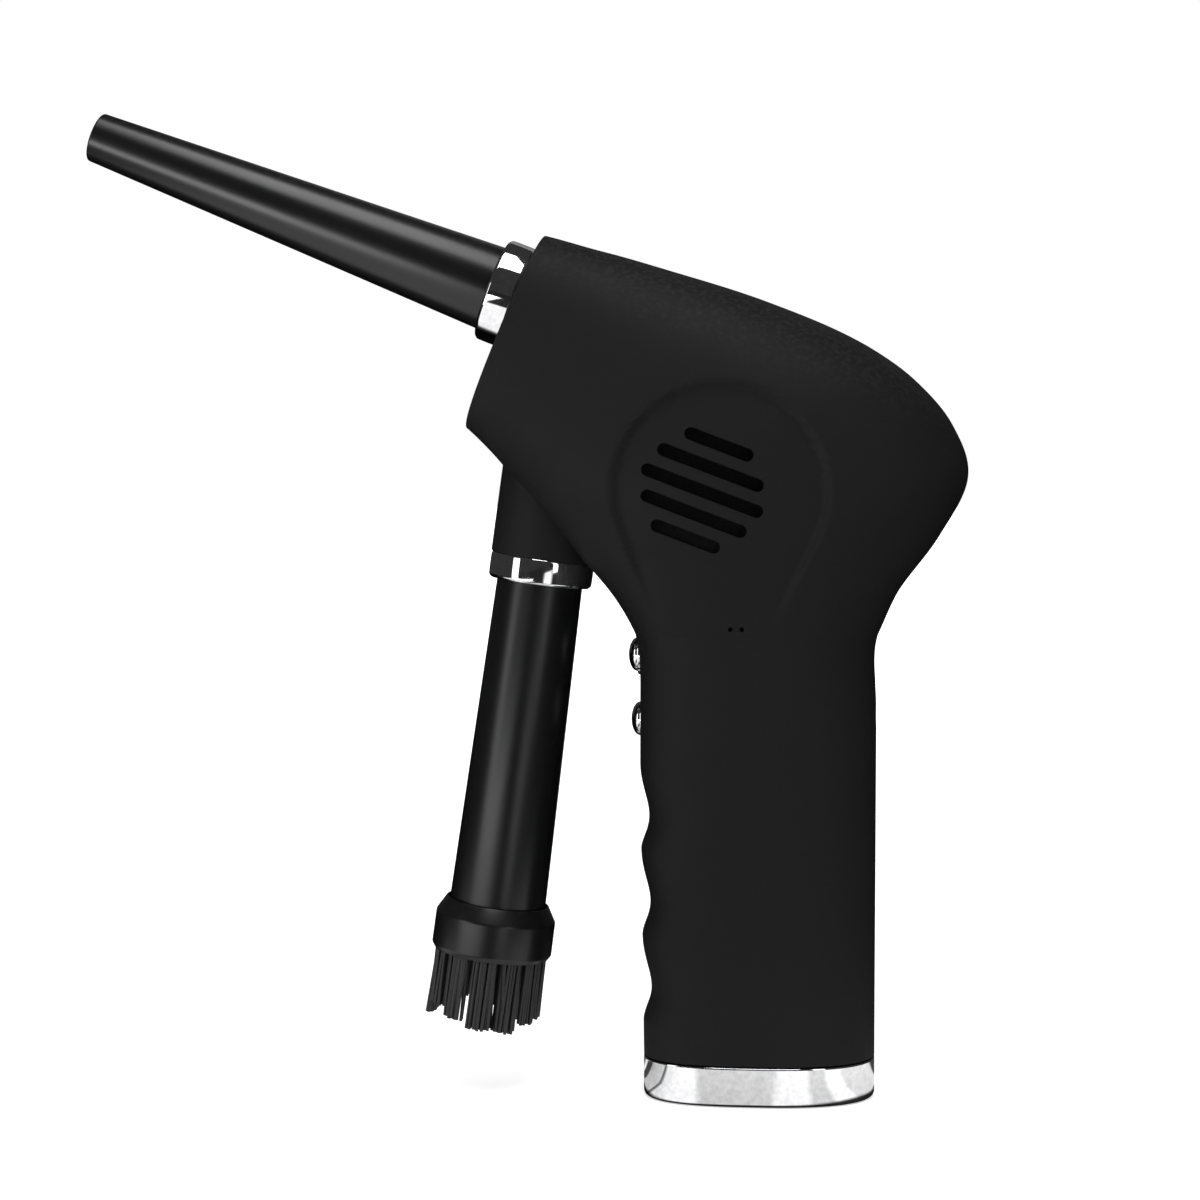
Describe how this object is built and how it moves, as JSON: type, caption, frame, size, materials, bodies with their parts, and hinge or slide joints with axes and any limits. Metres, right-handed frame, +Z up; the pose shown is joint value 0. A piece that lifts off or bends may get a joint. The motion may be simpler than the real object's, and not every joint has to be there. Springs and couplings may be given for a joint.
{
  "type": "cordless air blower",
  "caption": "Pistol-shaped cordless air blower with a long tapered nozzle, a round dusting brush on a lower branch, side vents, chrome port rings, push buttons and a finger-grooved grip.",
  "frame": {"origin": "centre of the flat foot, where the part stands", "axes": "+Z up, nozzle towards -X, left side towards -Y"},
  "size_m": [0.1907, 0.0514, 0.2123],
  "materials": {
    "soft_black": "soft-touch matte black moulding",
    "satin_black": "satin black moulding",
    "chrome": "bright chrome",
    "bristle": "stiff black nylon bristle",
    "inner_grey": "dark grey inner moulding",
    "wheel_white": "natural white moulding",
    "steel": "plain steel",
    "laminated_iron": "stacked sheet iron",
    "copper": "enamelled copper winding",
    "magnet": "bonded ring magnet",
    "rubber": "black rubber",
    "foam": "open black filter foam",
    "cell_wrap": null,
    "board_green": "green circuit board",
    "switch_black": "black switch body"
  },
  "bodies": {
    "housing": {"left_housing": "soft_black", "right_housing": "soft_black", "base_ring": "chrome", "base_plate": "inner_grey", "base_screw_left": "steel", "base_screw_right": "steel", "housing_screw_top": "steel", "housing_screw_rear": "steel", "housing_screw_neck": "steel", "housing_screw_inner": "steel", "housing_screw_front": "steel", "front_port_ring": "chrome", "lower_port_ring": "chrome", "air_manifold": "inner_grey", "scroll_base": "inner_grey", "scroll_cover": "inner_grey", "stator_core": "laminated_iron", "coil_1": "copper", "coil_2": "copper", "coil_3": "copper", "coil_4": "copper", "coil_5": "copper", "coil_6": "copper", "rear_bearing": "steel", "front_bearing": "steel", "intake_filter_left": "foam", "intake_filter_right": "foam", "cell_front": "cell_wrap", "cell_rear": "cell_wrap", "cell_holder_bottom": "inner_grey", "cell_holder_top": "inner_grey", "switch_board": "board_green", "control_board": "board_green", "board_screw_upper": "steel", "board_screw_lower": "steel", "charging_socket": "steel", "upper_switch": "switch_black", "lower_switch": "switch_black"},
    "rotor": {"impeller": "wheel_white", "rotor_magnet": "magnet", "motor_shaft": "steel"},
    "upper_button": {"upper_button": "chrome", "upper_plunger": "wheel_white"},
    "lower_button": {"lower_button": "chrome", "lower_plunger": "wheel_white"},
    "nozzle": {"nozzle": "satin_black", "nozzle_seal": "rubber"},
    "brush": {"brush_tube": "satin_black", "brush_collar": "satin_black", "bristles": "bristle", "brush_seal": "rubber"}
  },
  "joints": [
    {"name": "impeller_spin", "type": "hinge", "parent": "housing", "child": "rotor", "pos_m": [-0.008, 0, 0.131], "axis": [0, 1, 0], "continuous": true},
    {"name": "upper_button_press", "type": "slide", "parent": "housing", "child": "upper_button", "axis": [1, 0, 0], "range_m": [0, 0.0008], "stiffness_N_per_m": 1500, "springref_m": -0.001},
    {"name": "lower_button_press", "type": "slide", "parent": "housing", "child": "lower_button", "axis": [1, 0, 0], "range_m": [0, 0.0008], "stiffness_N_per_m": 1500, "springref_m": -0.001},
    {"name": "nozzle_pull", "type": "slide", "parent": "housing", "child": "nozzle", "axis": [-0.9336, 0, 0.3584], "range_m": [0, 0.012]},
    {"name": "brush_pull", "type": "slide", "parent": "housing", "child": "brush", "axis": [-0.1323, 0, -0.9912], "range_m": [0, 0.012]}
  ]
}
